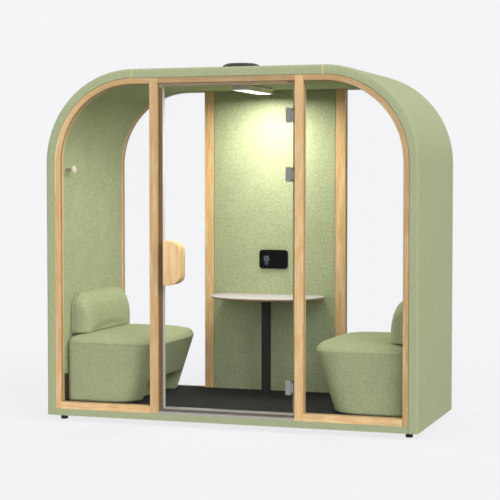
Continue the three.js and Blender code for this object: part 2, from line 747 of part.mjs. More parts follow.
// One fan blade as a twisted plate between hub and tip
function fanBlade(angle, z0, z1, tip) {
  const middle = (z0 + z1) / 2;
  const chord = [[-1, -1], [0, -1], [1, -1], [1, 1], [0, 1], [-1, 1]];
  const outline = chord.map(([a, b]) => new THREE.Vector2(a, b));
  const stations = [[MOTOR_RADIUS - 3, 0.9], [(MOTOR_RADIUS + tip) / 2, 0.68], [tip, 0.52]];
  const rings = stations.map(([radius, pitch]) => {
    const run = ((z1 - z0) / 2 - 2) / Math.sin(pitch) - 1;
    return outline.map((p) => {
      const along = p.x * run;
      const across = p.y * (BLADE_THICK / 2) + (1 - p.x * p.x) * BLADE_THICK;
      const sideways = along * Math.cos(pitch) - across * Math.sin(pitch);
      const rise = along * Math.sin(pitch) + across * Math.cos(pitch);
      const length = Math.sqrt(radius * radius - Math.min(sideways * sideways, radius * radius * 0.5));
      const point = new THREE.Vector3(length, sideways, middle + rise);
      return point.applyAxisAngle(new THREE.Vector3(0, 0, 1), angle);
    });
  });
  return loft(rings, outline).translate(0, VENT_Y, 0);
}

function addVent() {
  const rim = top + CAP_GAP;
  const peak = top + CAP_HEIGHT;
  const rise = peak - rim;
  const shoulder = (CAP_RADIUS + CAP_TOP_RADIUS) / 2;
  const dome = turned([
    [0, peak - CAP_WALL],
    [CAP_TOP_RADIUS - CAP_WALL, peak - CAP_WALL],
    [shoulder - CAP_WALL, rim + rise * 0.77 - CAP_WALL],
    [CAP_RADIUS - CAP_WALL - 6, rim + rise * 0.36],
    [CAP_RADIUS - CAP_WALL, rim],
    [CAP_RADIUS, rim],
    [CAP_RADIUS, rim + rise * 0.1],
    [CAP_RADIUS - 6, rim + rise * 0.42],
    [shoulder, rim + rise * 0.77],
    [CAP_TOP_RADIUS, peak],
    [0, peak],
  ], 0, VENT_Y);
  const flangeTop = top + FIT + FLANGE_THICK;
  const legRadius = DUCT_RADIUS + FLANGE / 2;
  const legs = [0, 1, 2, 3].map((quarter) => {
    const half = CAP_LEG / 2;
    const leg = block(-half, half, -half, half, flangeTop + FIT, peak - CAP_WALL / 2);
    return leg.translate(legRadius, 0, 0).rotateZ((quarter + 0.5) * (Math.PI / 2)).translate(0, VENT_Y, 0);
  });
  piece('vent_cap', join(dome, ...legs), blackPlastic);

  const bore = DUCT_RADIUS - DUCT_WALL;
  const motorBottom = top - MOTOR_DEPTH;
  const motorTop = motorBottom + MOTOR_HEIGHT;
  const rotorTop = motorTop + FIT + ROTOR_HEIGHT;
  const duct = turned([
    [bore, ceiling],
    [DUCT_RADIUS, ceiling],
    [DUCT_RADIUS, top + FIT],
    [DUCT_RADIUS + FLANGE, top + FIT],
    [DUCT_RADIUS + FLANGE, flangeTop],
    [bore, flangeTop],
    [bore, ceiling],
  ], 0, VENT_Y);
  const spokes = Array.from({ length: SPOKES }, (_, index) => {
    const bar = block(0, bore + 1, -SPOKE / 2, SPOKE / 2, motorBottom, motorBottom + SPOKE);
    return bar.rotateZ((index / SPOKES) * Math.PI * 2 + Math.PI / 7).translate(0, VENT_Y, 0);
  });
  const motor = rod(0, VENT_Y, MOTOR_RADIUS - 2, motorBottom, motorTop);
  const shaft = rod(0, VENT_Y, PIN_RADIUS, motorTop - 1, rotorTop);
  piece('fan_housing', join(duct, motor, shaft, ...spokes), blackPlastic);

  const hub = rod(0, VENT_Y, MOTOR_RADIUS, motorTop + FIT, rotorTop, 28);
  const blades = Array.from({ length: BLADES }, (_, index) => (
    fanBlade((index / BLADES) * Math.PI * 2, motorTop + FIT, rotorTop, bore - BLADE_GAP)
  ));
  const hole = rod(0, VENT_Y, PIN_RADIUS + RUNNING_CLEARANCE, motorTop - 1, rotorTop + 1);
  piece('fan_rotor', cut(join(hub, ...blades), hole), blackPlastic);
}

// Half superellipse from (0, -half) round the front at `reach` to (0, half)
function roundedFront(half, reach, length, power, steps) {
  const points = [];
  for (let step = 0; step <= steps; step += 1) {
    const angle = (step / steps - 0.5) * Math.PI;
    const across = Math.sign(angle) * Math.abs(Math.sin(angle)) ** (2 / power);
    const along = Math.abs(Math.cos(angle)) ** (2 / power);
    points.push(new THREE.Vector2(reach - length + length * along, half * across));
  }
  return points;
}

function addTable() {
  const upper = carpetTop + TABLE_HEIGHT;
  const lower = upper - TABLE_THICK;
  const edge = backInside - FIT;
  const outline = roundedFront(TABLE_HALF, TABLE_REACH, TABLE_REACH, TABLE_POWER, 40);
  const levels = [[TABLE_BEVEL, lower], [0, lower + TABLE_BEVEL], [0, upper - 2], [2, upper]];
  const rings = levels.map(([inset, z]) => outline.map((p) => new THREE.Vector3(
    p.y * (1 - inset / TABLE_HALF),
    edge - p.x * (1 - inset / TABLE_REACH),
    z,
  )));
  piece('table_top', loft(rings, outline), white);
  const column = turned([
    [0, carpetTop + FIT],
    [COLUMN_RADIUS, carpetTop + FIT],
    [COLUMN_RADIUS, lower - FIT - COLUMN_PLATE_THICK],
    [COLUMN_PLATE, lower - FIT - COLUMN_PLATE_THICK],
    [COLUMN_PLATE, lower - FIT],
    [0, lower - FIT],
  ], 0, backInside - COLUMN_FROM_BACK, 32);
  piece('table_column', column, blackMetal);
  const plate = roundedRectangle(PANEL_WIDTH / 2, PANEL_HEIGHT / 2, PANEL_CORNER);
  const panelBack = backInside - FIT;
  const panelFront = panelBack - PANEL_THICK;
  const panel = alongDepth(plate, panelFront + PANEL_ROLL, panelBack - PANEL_ROLL, roll(PANEL_ROLL));
  piece('control_panel', panel.translate(0, 0, LIFT + PANEL_Z), blackPlastic);
}

// Plan of a bench at one height: rounded corners at the wall, then the rounded front
function benchOutline(reach) {
  const corner = SEAT_HALF - SEAT_CORNER;
  return [
    ...cornerArc(SEAT_CORNER, -corner, SEAT_CORNER, Math.PI),
    ...roundedFront(SEAT_HALF, reach, SEAT_ROUND, SEAT_POWER, 26),
    ...cornerArc(SEAT_CORNER, corner, SEAT_CORNER, Math.PI / 2),
  ];
}

// Points measured from a side wall into the room
function fromWall(hand, out, y, z) {
  return new THREE.Vector3(hand * (wallFace - FIT - out), y, z);
}

function benchBase(hand) {
  const bottom = carpetTop + FIT;
  const rolled = 1 - BASE_ROLL / SEAT_HALF;
  const tucked = 1 - PAD_TUCK / SEAT_HALF;
  const levels = [
    [bottom, rolled],
    [bottom + BASE_ROLL, 1],
    [seatTop - PAD_TUCK, 1],
    [seatTop, tucked],
  ];
  const rings = levels.map(([z, scale]) => {
    const reach = FOOT_REACH + (SEAT_REACH - FOOT_REACH) * ((z - bottom) / (seatTop - bottom));
    return benchOutline(reach).map((p) => fromWall(hand, p.x * scale, p.y * scale, z));
  });
  const body = loft(rings, benchOutline(SEAT_REACH));
  const kickSlope = (KICK_HEIGHT - KICK_BACK_HEIGHT) / KICK_DEPTH;
  const kickFront = hand * (wallFace - SEAT_REACH);
  const kickBack = hand * (wallFace - FOOT_REACH + KICK_DEPTH);
  const kick = polygon([
    [kickFront, bottom - 1],
    [kickBack, bottom - 1],
    [kickBack, bottom + KICK_BACK_HEIGHT],
    [kickFront, bottom + KICK_HEIGHT + kickSlope * (SEAT_REACH - FOOT_REACH)],
  ]);
  return cut(body, alongDepth(kick, -KICK_HALF, KICK_HALF));
}

// Crowned seat pad: drawn in at its seam, full at its sides, rolled over, then doming to the top
function seatPad(hand) {
  const levels = [
    [0, 1 - PAD_TUCK / SEAT_HALF],
    [0.05, 1],
    [0.13, 1],
    [0.3, 0.995],
    [0.46, 0.981],
    [0.6, 0.957],
    [0.71, 0.922],
    [0.8, 0.858],
    [0.88, 0.755],
    [0.94, 0.6],
    [0.98, 0.4],
    [1, 0.16],
  ];
  const middle = SEAT_REACH / 2;
  const rings = levels.map(([rise, scale]) => benchOutline(SEAT_REACH).map((p) => (
    fromWall(hand, middle + (p.x - middle) * scale, p.y * scale, seatTop + FIT + rise * (PAD_HEIGHT - FIT))
  )));
  return loft(rings, benchOutline(SEAT_REACH));
}

// Outline of a back cushion, as parts of its half width and half height
function cushionOutline() {
  const corners = [
    [1, 1, CUSHION_CORNER, 0],
    [-1, 1, CUSHION_CORNER, Math.PI / 2],
    [-1, -1, CUSHION_FOOT, Math.PI],
    [1, -1, CUSHION_FOOT, -Math.PI / 2],
  ];
  return corners.flatMap(([across, up, radius, from]) => {
    const wide = radius / CUSHION_HALF;
    const tall = (2 * radius) / CUSHION_HEIGHT;
    return Array.from({ length: CUSHION_STEPS + 1 }, (_, step) => {
      const angle = from + (step / CUSHION_STEPS) * (Math.PI / 2);
      const y = across * (1 - wide) + wide * Math.cos(angle);
      const z = up * (1 - tall) + tall * Math.sin(angle);
      return new THREE.Vector2(y, z);
    });
  });
}

// Crowned back cushion: drawn in at the wall, fullest low down, leaning back to its top, and
// hollowed underneath by the crown of the seat pad
function backCushion(hand) {
  const outline = cushionOutline();
  const bottom = seatTop + CUSHION_RISE;
  const turns = [0, 0.08, 0.18, 0.32, 0.46, 0.6, 0.72, 0.82, 0.9, 0.96];
  const rings = turns.map((turn) => {
    const angle = turn * (Math.PI / 2);
    const out = CUSHION_THICK * Math.sin(angle) ** (2 / CUSHION_POWER);
    const lean = Math.cos(angle) ** (2 / CUSHION_POWER);
    const tuck = turn > 0 ? 1 : 0.965;
    const high = CUSHION_HEIGHT * lean * tuck;
    const half = CUSHION_HALF * tuck - CUSHION_END * (1 - lean);
    return outline.map((p) => fromWall(hand, out, p.x * half, bottom + (high / 2) * (1 + p.y)));
  });
  return cut(loft(rings, outline), seatPad(hand).translate(0, 0, 2 * FIT));
}

function addBenches() {
  for (const [name, hand] of [['left', -1], ['right', 1]]) {
    piece(`${name}_bench_base`, benchBase(hand), fabric);
    piece(`${name}_seat_pad`, seatPad(hand), fabric);
    piece(`${name}_back_cushion`, backCushion(hand), fabric);
  }
}

function addCoatHook() {
  const hook = turned([
    [0, 0],
    [HOOK_STEM + HOOK_ROSE / 2, 0],
    [HOOK_STEM, HOOK_ROSE],
    [HOOK_STEM, HOOK_REACH - HOOK_HEAD],
    [HOOK_KNOB * 0.83, HOOK_REACH - HOOK_HEAD * 0.73],
    [HOOK_KNOB, HOOK_REACH - HOOK_HEAD / 2],
    [HOOK_KNOB, HOOK_REACH - HOOK_HEAD * 0.23],
    [HOOK_KNOB * 0.79, HOOK_REACH],
    [0, HOOK_REACH],
  ], 0, 0, 20);
  hook.rotateY(Math.PI / 2).translate(FIT - wallFace, front + HOOK_FROM_FRONT, LIFT + BODY_HEIGHT - HOOK_DROP);
  piece('coat_hook', hook, timber);
}

addBase();
addShell();
addLining();
addFrontFrame();
addBackFrame();
addDoorFrame();
addDoor();
addLamp();
addVent();
addTable();
addBenches();
addCoatHook();

// The origin lies on the ground under the middle of the whole pod, handle included
pod.position.y = handleReach / 2;

export default pod;
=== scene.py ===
"""Looks of the acoustic office pod: finishes, upholstery, glazing beads, light and camera."""
import json
import math

import bpy
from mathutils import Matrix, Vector

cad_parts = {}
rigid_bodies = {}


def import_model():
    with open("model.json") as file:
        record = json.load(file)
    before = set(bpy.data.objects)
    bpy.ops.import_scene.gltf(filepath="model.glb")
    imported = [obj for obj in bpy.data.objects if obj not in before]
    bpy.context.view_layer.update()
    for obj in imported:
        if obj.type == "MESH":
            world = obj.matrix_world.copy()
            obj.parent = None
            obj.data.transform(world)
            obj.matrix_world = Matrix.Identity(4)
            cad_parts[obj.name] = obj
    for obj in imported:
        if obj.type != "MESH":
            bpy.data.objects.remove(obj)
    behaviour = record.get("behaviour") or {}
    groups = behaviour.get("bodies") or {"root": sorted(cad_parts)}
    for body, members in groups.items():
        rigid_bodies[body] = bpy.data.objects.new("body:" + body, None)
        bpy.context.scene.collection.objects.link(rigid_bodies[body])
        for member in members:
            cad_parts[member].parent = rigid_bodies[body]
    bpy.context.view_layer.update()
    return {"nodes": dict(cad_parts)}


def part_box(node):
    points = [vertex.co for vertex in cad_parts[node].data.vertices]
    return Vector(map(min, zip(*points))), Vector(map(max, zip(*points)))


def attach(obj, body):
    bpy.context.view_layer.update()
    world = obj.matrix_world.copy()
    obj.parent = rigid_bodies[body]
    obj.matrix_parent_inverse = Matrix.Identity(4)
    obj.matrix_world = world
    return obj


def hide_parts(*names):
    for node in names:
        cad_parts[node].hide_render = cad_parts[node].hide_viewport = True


scene = bpy.context.scene
for stray in list(bpy.data.objects):
    bpy.data.objects.remove(stray, do_unlink=True)

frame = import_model()
nodes = frame["nodes"]

# Sizes of the CAD model, in metres
HALF_WIDTH = 1.211
CORNER = 0.588
TOP = 2.236
BAND = 0.094  # shell edge and frame face together
CROWN = HALF_WIDTH - CORNER  # half the straight run of the roof
SPRING = TOP - CORNER  # height where the corners start to turn
ARCH_MIDDLE = CORNER - 0.077  # radius along the middle of the arched frames
WALL_FACE = 1.1187  # inner face of a side lining
SMOOTH_BELOW = math.radians(38)  # edges turned less than this are shaded smooth

# Colours, linear
GREEN = (0.402, 0.444, 0.262)
CUSHION_GREEN = (0.385, 0.423, 0.245)
TIMBER_LIGHT = (0.8925, 0.64575, 0.35175)
TIMBER_MID = (0.66, 0.43, 0.205)
TIMBER_DARK = (0.50, 0.295, 0.12)
TIMBER_WARM = (0.755, 0.46, 0.205)
BIRCH = (0.80, 0.73, 0.60)
BACKGROUND = (0.905, 0.913, 0.930)
STRIP_DARK = (0.130, 0.105, 0.088)  # brown strip along the foot of the door
STRIP_PALE = (0.175, 0.145, 0.122)
BLACK = (0.0, 0.0, 0.0)

# Textures. The first three are counts to a metre.
FIBRES = 210
FLECKS = 78
PATCHES = 7
FIBRE_DEPTH = 0.13  # how far a fibre's tone lies from the cloth's
FLECK_SHARE = 0.75  # of the change in tone, the rest comes from the patches
BOARD_SHIFT = 9.0  # metres of grain to cut the boards from
BRUSHING = 900  # brush lines to a metre
BRUSH_DEPTH = 0.00012  # in metres, and so are the heights and widths below
HOOK_STEM = 0.52  # share of the coat hook that is stem
STRIP_TOP = 0.108  # height of the brown strip on the threshold
BEAD_LEG = 0.3  # how far in from the side the darkest glazing rubber reaches
LAMINATE = 0.003  # thickness of the table's white sheet
PLY = 0.0032  # thickness of two plies of its board

# Light
SKY = 2.28  # strength at the horizon, in front and behind
KEY = 1.57
KEY_AZIMUTH = math.radians(49)
KEY_ELEVATION = math.radians(35)
KEY_SOFTNESS = math.radians(35)
FLOOR_BOUNCE = 0.16  # how pale the floor is to bounced light
FLOOR_SHADOW = 0.14  # how much of a shadow the floor shows
FLOOR_REACH = 60.0
LAMP_POWER = 16.8
LAMP_COLOUR = (1.0, 0.975, 0.92)
LAMP_SPREAD = math.radians(174)
LAMP_DROP = 0.004  # from the lens to the light
ZENITH = 0.45  # of the sky at the horizon
SIDE_SKY = 0.46  # of the sky in front and behind
GLASS_PASS = 0.95  # of the light that falls through a pane
GLASS_IOR = 1.12  # low, as the panes hardly mirror anything in the photograph

# Camera
CAMERA_PLACE = (3.1272, -9.3785, 1.56)
CAMERA_DIP = 2.723  # degrees below level
CAMERA_TURN = 18.489
CAMERA_LENS = 110.23


def shade(colour, factor):
    return tuple(channel * factor for channel in colour)


class Nodes:
    """A node tree being put together. A method that adds a node returns what it gives out."""

    def __init__(self, tree):
        self.tree = tree

    def feed(self, socket, value):
        if isinstance(value, bpy.types.NodeSocket):
            self.tree.links.new(value, socket)
        elif socket.type == "RGBA" and len(value) == 3:
            socket.default_value = (*value, 1.0)
        else:
            socket.default_value = value

    def add(self, kind, inputs=None, **settings):
        node = self.tree.nodes.new(kind)
        for key, value in settings.items():
            setattr(node, key, value)
        for key, value in (inputs or {}).items():
            self.feed(node.inputs[key], value)
        return node

    def sum(self, operation, *values):
        return self.add("ShaderNodeMath", dict(enumerate(values)), operation=operation).outputs[0]

    def split(self, vector):
        return self.add("ShaderNodeSeparateXYZ", {0: vector}).outputs

    def stretched(self, vector, x, y, z):
        node = self.add("ShaderNodeVectorMath", {0: vector, 1: (x, y, z)}, operation="MULTIPLY")
        return node.outputs[0]

    def noise(self, vector, scale, detail=2.0, roughness=0.5):
        inputs = {"Vector": vector, "Scale": scale, "Detail": detail, "Roughness": roughness}
        return self.add("ShaderNodeTexNoise", inputs).outputs["Fac"]

    def cells(self, vector, scale):
        return self.add("ShaderNodeTexVoronoi", {"Vector": vector, "Scale": scale}).outputs

    def within(self, value, start, end, low=0.0, high=1.0):
        inputs = {"Value": value, "From Min": start, "From Max": end, "To Min": low, "To Max": high}
        return self.add("ShaderNodeMapRange", inputs).outputs["Result"]

    def blend(self, factor, low, high):
        node = self.add("ShaderNodeMix", data_type="RGBA")
        self.feed(node.inputs[0], factor)
        self.feed(node.inputs[6], low)
        self.feed(node.inputs[7], high)
        return node.outputs[2]


class Look(Nodes):
    """A material being put together. `where` is the place on the object, in metres."""

    def __init__(self, name, plain=None):
        self.material = bpy.data.materials.new(name)
        self.material.use_nodes = True
        super().__init__(self.material.node_tree)
        self.shader = self.tree.nodes["Principled BSDF"]
        self.where = self.add("ShaderNodeTexCoord").outputs["Object"]
        self.set(plain or {})

    def set(self, inputs):
        for key, value in inputs.items():
            self.feed(self.shader.inputs[key], value)

    def surface(self, shader):
        """Puts another shader in the place of the plain one."""
        self.feed(self.tree.nodes["Material Output"].inputs["Surface"], shader)

    def bump(self, height, distance, strength):
        inputs = {"Height": height, "Distance": distance, "Strength": strength}
        self.set({"Normal": self.add("ShaderNodeBump", inputs).outputs["Normal"]})


def wool(name, colour, loops, flecked, wear_and_top_shade=0.0):
    """Dense wool cloth: fine light and dark fibres, slow changes of tone and a looped surface.

    Loops is how many of them go into a metre, flecked how far the flecks part in tone, and the
    last argument how much darker the level faces that look up are painted, a painted shade.
    """
    look = Look(name, {"Roughness": 0.95, "Specular IOR Level": 0.08})
    fibre = look.within(look.noise(look.where, FIBRES, 4, 0.7), 0.36, 0.64)
    fleck = look.within(look.noise(look.where, FLECKS, 2, 0.6), 0.36, 0.64)
    patch = look.within(look.noise(look.where, PATCHES, 3), 0.3, 0.7)
    quiet, warm = [
        look.blend(fibre, shade(colour, tone - FIBRE_DEPTH), shade(colour, tone + FIBRE_DEPTH))
        for tone in (1 - flecked, 1 + flecked)
    ]
    mottle = look.sum(
        "ADD",
        look.sum("MULTIPLY", fleck, FLECK_SHARE),
        look.sum("MULTIPLY", patch, 1 - FLECK_SHARE),
    )
    level = look.split(look.add("ShaderNodeTexCoord").outputs["Normal"])[2]
    # painted shade: faces that look up are painted darker
    painted_top_shade = look.within(level, 0.5, 0.9, 0.0, wear_and_top_shade)
    look.set({"Base Color": look.blend(painted_top_shade, look.blend(mottle, quiet, warm), BLACK)})
    loop = look.cells(look.where, loops)["Distance"]
    look.bump(look.sum("ADD", loop, fibre), 0.0007, 0.7)
    return look.material


def upright_grain(look):
    """Across, deep and along the grain, as in every grain below."""
    return look.split(look.where)


def level_grain(look):
    """Runs across the pod, along a sill."""
    x, y, z = look.split(look.where)
    return z, y, x


def arched_grain(look):
    """Follows a leg, its quarter turn and the head, so the grain runs round the arch."""
    x, y, z = look.split(look.where)
    out = look.sum("ABSOLUTE", x)
    beyond = look.sum("MAXIMUM", look.sum("SUBTRACT", out, CROWN), 0.0)
    above = look.sum("MAXIMUM", look.sum("SUBTRACT", z, SPRING), 0.0)
    squares = [look.sum("MULTIPLY", part, part) for part in (beyond, above)]
    radius = look.sum("SQRT", look.sum("ADD", *squares))
    turn = look.sum("MULTIPLY", look.sum("ARCTAN2", above, beyond), ARCH_MIDDLE)
    leg = look.sum("MINIMUM", z, SPRING)
    head = look.sum("MAXIMUM", look.sum("SUBTRACT", CROWN, out), 0.0)
    return radius, y, look.sum("ADD", leg, look.sum("ADD", turn, head))


def timber(name, grain, tone=1.0, crown=1.0, figure=1.0):
    """Clear-lacquered ash: growth bands, warmer lengths, darker streaks and open pores.

    Tone is how pale the board is, crown how pale the top of an arch is beside its legs, and
    figure how much of the warm lengths and the streaks shows.
    """
    look = Look(name, {"Specular IOR Level": 0.35})
    across, deep, along = grain(look)
    place = look.add("ShaderNodeCombineXYZ", {0: across, 1: deep, 2: along}).outputs[0]
    own = look.add("ShaderNodeObjectInfo").outputs["Random"]
    start = look.sum("MULTIPLY", own, BOARD_SHIFT)
    shift = look.add("ShaderNodeCombineXYZ", {0: own, 1: own, 2: start}).outputs[0]
    place = look.add("ShaderNodeVectorMath", {0: place, 1: shift}, operation="ADD").outputs[0]

    def drawn_out(thinned, scale, detail, roughness=0.5):
        """Noise with only this share of its changes left along the grain."""
        return look.noise(look.stretched(place, 1, 1, thinned), scale, detail, roughness)

    band = look.within(drawn_out(0.05, 42, 3), 0.3, 0.7)
    streak = drawn_out(0.03, 190, 4, 0.6)
    pore = drawn_out(0.02, 1300, 2)
    length = drawn_out(0.3, 24, 2)
    dark = shade(TIMBER_DARK, tone)
    warm = shade(TIMBER_WARM, tone)
    colour = look.blend(band, shade(TIMBER_MID, tone), shade(TIMBER_LIGHT, tone))
    colour = look.blend(look.within(length, 0.42, 0.62, 0.0, 0.95 * figure), colour, warm)
    colour = look.blend(look.within(streak, 0.46, 0.72, 0.0, 0.8 * figure), colour, dark)
    height = look.split(look.where)[2]
    # darker towards the crown of the arch
    darker_to_crown = look.within(height, SPRING + CORNER / 2, TOP - BAND, 0.0, 1.0 - crown)
    colour = look.blend(darker_to_crown, colour, BLACK)
    colour = look.blend(look.within(pore, 0.56, 0.72, 0.0, 0.6), colour, dark)
    look.set({"Base Color": colour, "Roughness": look.within(streak, 0.3, 0.7, 0.4, 0.56)})
    look.bump(look.sum("SUBTRACT", streak, look.within(pore, 0.55, 0.8)), 0.00025, 0.4)
    return look.material


def hook_wood(name):
    """Pale turned birch, with the stem painted darker brown than the knob, a painted shade."""
    look = Look(name, {"Roughness": 0.5, "Specular IOR Level": 0.3})
    across = look.split(look.where)[0]
    low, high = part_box("coat_hook")
    grain = look.noise(look.stretched(look.where, 0.06, 1, 1), 420, 3)
    knob = look.blend(grain, shade(BIRCH, 0.86), shade(BIRCH, 1.06))
    # painted shade: the stem is painted darker where the knob shades it
    stem = look.blend(grain, (0.24, 0.185, 0.115), (0.34, 0.27, 0.175))
    neck = low.x + (high.x - low.x) * HOOK_STEM
    look.set({"Base Color": look.blend(look.within(across, neck, neck + 0.004), stem, knob)})
    look.bump(grain, 0.0002, 0.4)
    return look.material


def glass(name):
    """Clear float glass that lamps and bounced light pass straight through."""
    look = Look(name, {"Roughness": 0.0, "IOR": GLASS_IOR, "Transmission Weight": 1.0})
    smear = look.within(look.noise(look.where, 3.0, 2), 0.35, 0.65)
    look.set({"Base Color": look.blend(smear, (0.988, 0.994, 0.991), (0.994, 0.998, 0.996))})
    path = look.add("ShaderNodeLightPath").outputs
    lit = look.sum("MAXIMUM", path["Is Shadow Ray"], path["Is Diffuse Ray"])
    through = shade((0.99, 1.0, 0.995), GLASS_PASS)
    open_way = look.add("ShaderNodeBsdfTransparent", {"Color": through}).outputs[0]
    pane = look.shader.outputs[0]
    look.surface(look.add("ShaderNodeMixShader", {0: lit, 1: pane, 2: open_way}).outputs[0])
    return look.material


def brushed(name, colour, roughness, x, y, z):
    """Metal with fine scratches; x, y and z stretch them along the direction of brushing."""
    look = Look(name, {"Metallic": 1.0})
    line = look.noise(look.stretched(look.where, x, y, z), BRUSHING, 3)
    cloud = look.noise(look.where, 11, 2)
    look.set({
        "Base Color": look.blend(line, shade(colour, 0.85), shade(colour, 1.13)),
        "Roughness": look.within(cloud, 0.3, 0.7, roughness - 0.05, roughness + 0.07),
    })
    look.bump(line, BRUSH_DEPTH, 0.5)
    return look.material


def threshold_look(name):
    """Anodised threshold with a brown strip by the hinges, where the door seal has ended."""
    look = Look(name, {"Metallic": 0.7})
    place = look.split(look.where)
    line = look.noise(look.stretched(look.where, 0.03, 1, 1), BRUSHING, 3)
    plate = look.blend(line, (0.39, 0.36, 0.335), (0.51, 0.475, 0.44))
    strip = look.blend(line, STRIP_DARK, STRIP_PALE)
    low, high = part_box("door_seal")
    ended = look.within(place[0], high.x - 0.001, high.x + 0.001)
    above = look.within(place[2], low.z, low.z + 0.001)
    below = look.within(place[2], STRIP_TOP, STRIP_TOP + 0.0005, 1.0, 0.0)
    striped = look.sum("MULTIPLY", ended, look.sum("MULTIPLY", above, below))
    look.set({
        "Base Color": look.blend(striped, plate, strip),
        "Roughness": look.within(look.noise(look.where, 11, 2), 0.3, 0.7, 0.37, 0.49),
    })
    look.bump(line, BRUSH_DEPTH, 0.5)
    return look.material


def moulded(name, colour, roughness, grain, depth, shine=0.25):
    """Plastic, rubber or powder coat with a fine stippled skin."""
    look = Look(name, {"Specular IOR Level": shine})
    stipple = look.noise(look.where, grain, 2)
    cloud = look.within(look.noise(look.where, 9, 2), 0.3, 0.7)
    look.set({
        "Base Color": look.blend(cloud, shade(colour, 0.88), shade(colour, 1.12)),
        "Roughness": look.within(stipple, 0.3, 0.7, roughness - 0.05, roughness + 0.06),
    })
    look.bump(stipple, depth, 0.6)
    return look.material


def door_brush(name):
    """Brown seal of the door down the jamb and over the threshold; along the head it is painted pale,
    painted light against the shade there.
    """
    look = Look(name, {"Roughness": 0.8, "Specular IOR Level": 0.15})
    height = look.split(look.where)[2]
    pile = look.noise(look.where, 800, 3)
    jamb = look.blend(pile, (0.165, 0.102, 0.058), (0.225, 0.147, 0.088))
    foot = look.blend(pile, STRIP_DARK, STRIP_PALE)
    # painted light: the pale head colour offsets the shade under the head rail
    head = look.blend(pile, (0.61, 0.46, 0.29), (0.73, 0.57, 0.37))
    low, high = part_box("door_seal")
    tone = look.blend(look.within(height, low.z + 0.012, low.z + 0.03), foot, jamb)
    tone = look.blend(look.within(height, high.z - 0.03, high.z - 0.012), tone, head)
    look.set({"Base Color": tone})
    look.bump(pile, 0.0003, 0.6)
    return look.material


def front_bead(name):
    """Brown glazing rubber of the front, dark down the outer leg on the left and painted paler
    elsewhere, painted light against the shade in the groove.
    """
    look = Look(name, {"Roughness": 0.7, "Specular IOR Level": 0.25})
    place = look.split(look.where)
    stipple = look.noise(look.where, 1100, 2)
    dark = look.blend(stipple, (0.31, 0.22, 0.115), (0.38, 0.28, 0.16))
    # painted light: this tan is paler than the rubber to offset the shade along the groove
    tan = look.blend(stipple, (0.42, 0.31, 0.17), (0.50, 0.37, 0.215))
    inner = look.within(place[0], BEAD_LEG - HALF_WIDTH, CORNER - HALF_WIDTH)
    arched = look.within(place[2], SPRING - 0.05, SPRING + CORNER / 2)
    look.set({"Base Color": look.blend(look.sum("MAXIMUM", inner, arched), dark, tan)})
    look.bump(stipple, 0.0002, 0.6)
    return look.material


def door_stop_metal(name):
    """Anodised door stop, pale on the handle side; along the head and the hinges it is painted brown, a
    painted shade.
    """
    look = Look(name, {"Metallic": 0.25})
    place = look.split(look.where)
    line = look.noise(look.stretched(look.where, 1, 1, 0.03), BRUSHING, 3)
    low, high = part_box("door_stop_frame")
    pale = look.blend(line, (0.63, 0.585, 0.53), (0.76, 0.715, 0.655))
    # painted shade: brown for the shade along the head and down the hinge side
    brown = look.blend(line, (0.27, 0.205, 0.125), (0.37, 0.285, 0.18))
    middle = (low.x + high.x) / 2
    tone = look.blend(look.within(place[0], middle, middle + 0.1), pale, brown)
    tone = look.blend(look.within(place[2], high.z - 0.022, high.z - 0.018), tone, brown)
    look.set({"Base Color": tone, "Roughness": look.within(line, 0.3, 0.7, 0.4, 0.5)})
    look.bump(line, BRUSH_DEPTH, 0.5)
    return look.material


def loop_carpet(name):
    """Dark loop pile with heathered tufts, and walked even in places."""
    look = Look(name, {"Roughness": 1.0, "Specular IOR Level": 0.0})
    loops = look.cells(look.where, 240)
    tuft = look.split(loops["Color"])[0]
    tone = look.blend(tuft, (0.021, 0.022, 0.020), (0.056, 0.057, 0.052))
    wear_and_top_shade = look.within(look.noise(look.where, 5, 3), 0.35, 0.65, 0.0, 0.5)
    mottle = look.within(look.noise(look.where, 45, 3, 0.65), 0.36, 0.64)
    tone = look.blend(wear_and_top_shade, tone, (0.034, 0.035, 0.032))
    deep = look.stretched(tone, 0.55, 0.55, 0.57)
    pale = look.stretched(tone, 1.4, 1.38, 1.34)
    look.set({"Base Color": look.blend(mottle, deep, pale)})
    look.bump(look.sum("SUBTRACT", 1.0, loops["Distance"]), 0.002, 0.8)
    return look.material


def laminated_board(name, top):
    """White laminate above, the plies of the board showing at the edge and below."""
    look = Look(name, {"Specular IOR Level": 0.4})
    height = look.split(look.where)[2]
    speck = look.noise(look.where, 260, 3)
    white = look.blend(speck, (0.485, 0.457, 0.455), (0.54, 0.51, 0.507))
    ply = look.sum("SINE", look.sum("MULTIPLY", height, 2.0 * math.pi / PLY))
    edge = look.blend(look.within(ply, -0.4, 0.4), (0.23, 0.165, 0.085), (0.36, 0.27, 0.145))
    above = look.within(height, top - LAMINATE - 0.0002, top - LAMINATE)
    look.set({
        "Base Color": look.blend(above, edge, white),
        "Roughness": look.within(speck, 0.3, 0.7, 0.38, 0.46),
    })
    look.bump(speck, 0.0001, 0.3)
    return look.material


def glowing_lens(name):
    """Lit diffuser with small prisms."""
    look = Look(name, {"Roughness": 0.45, "Emission Strength": 2.6})
    prism = look.cells(look.where, 190)["Distance"]
    look.set({
        "Base Color": look.blend(prism, (0.86, 0.85, 0.81), (0.93, 0.92, 0.89)),
        "Emission Color": look.blend(prism, (1.0, 0.985, 0.93), (1.0, 0.965, 0.87)),
    })
    look.bump(prism, 0.0006, 0.5)
    return look.material


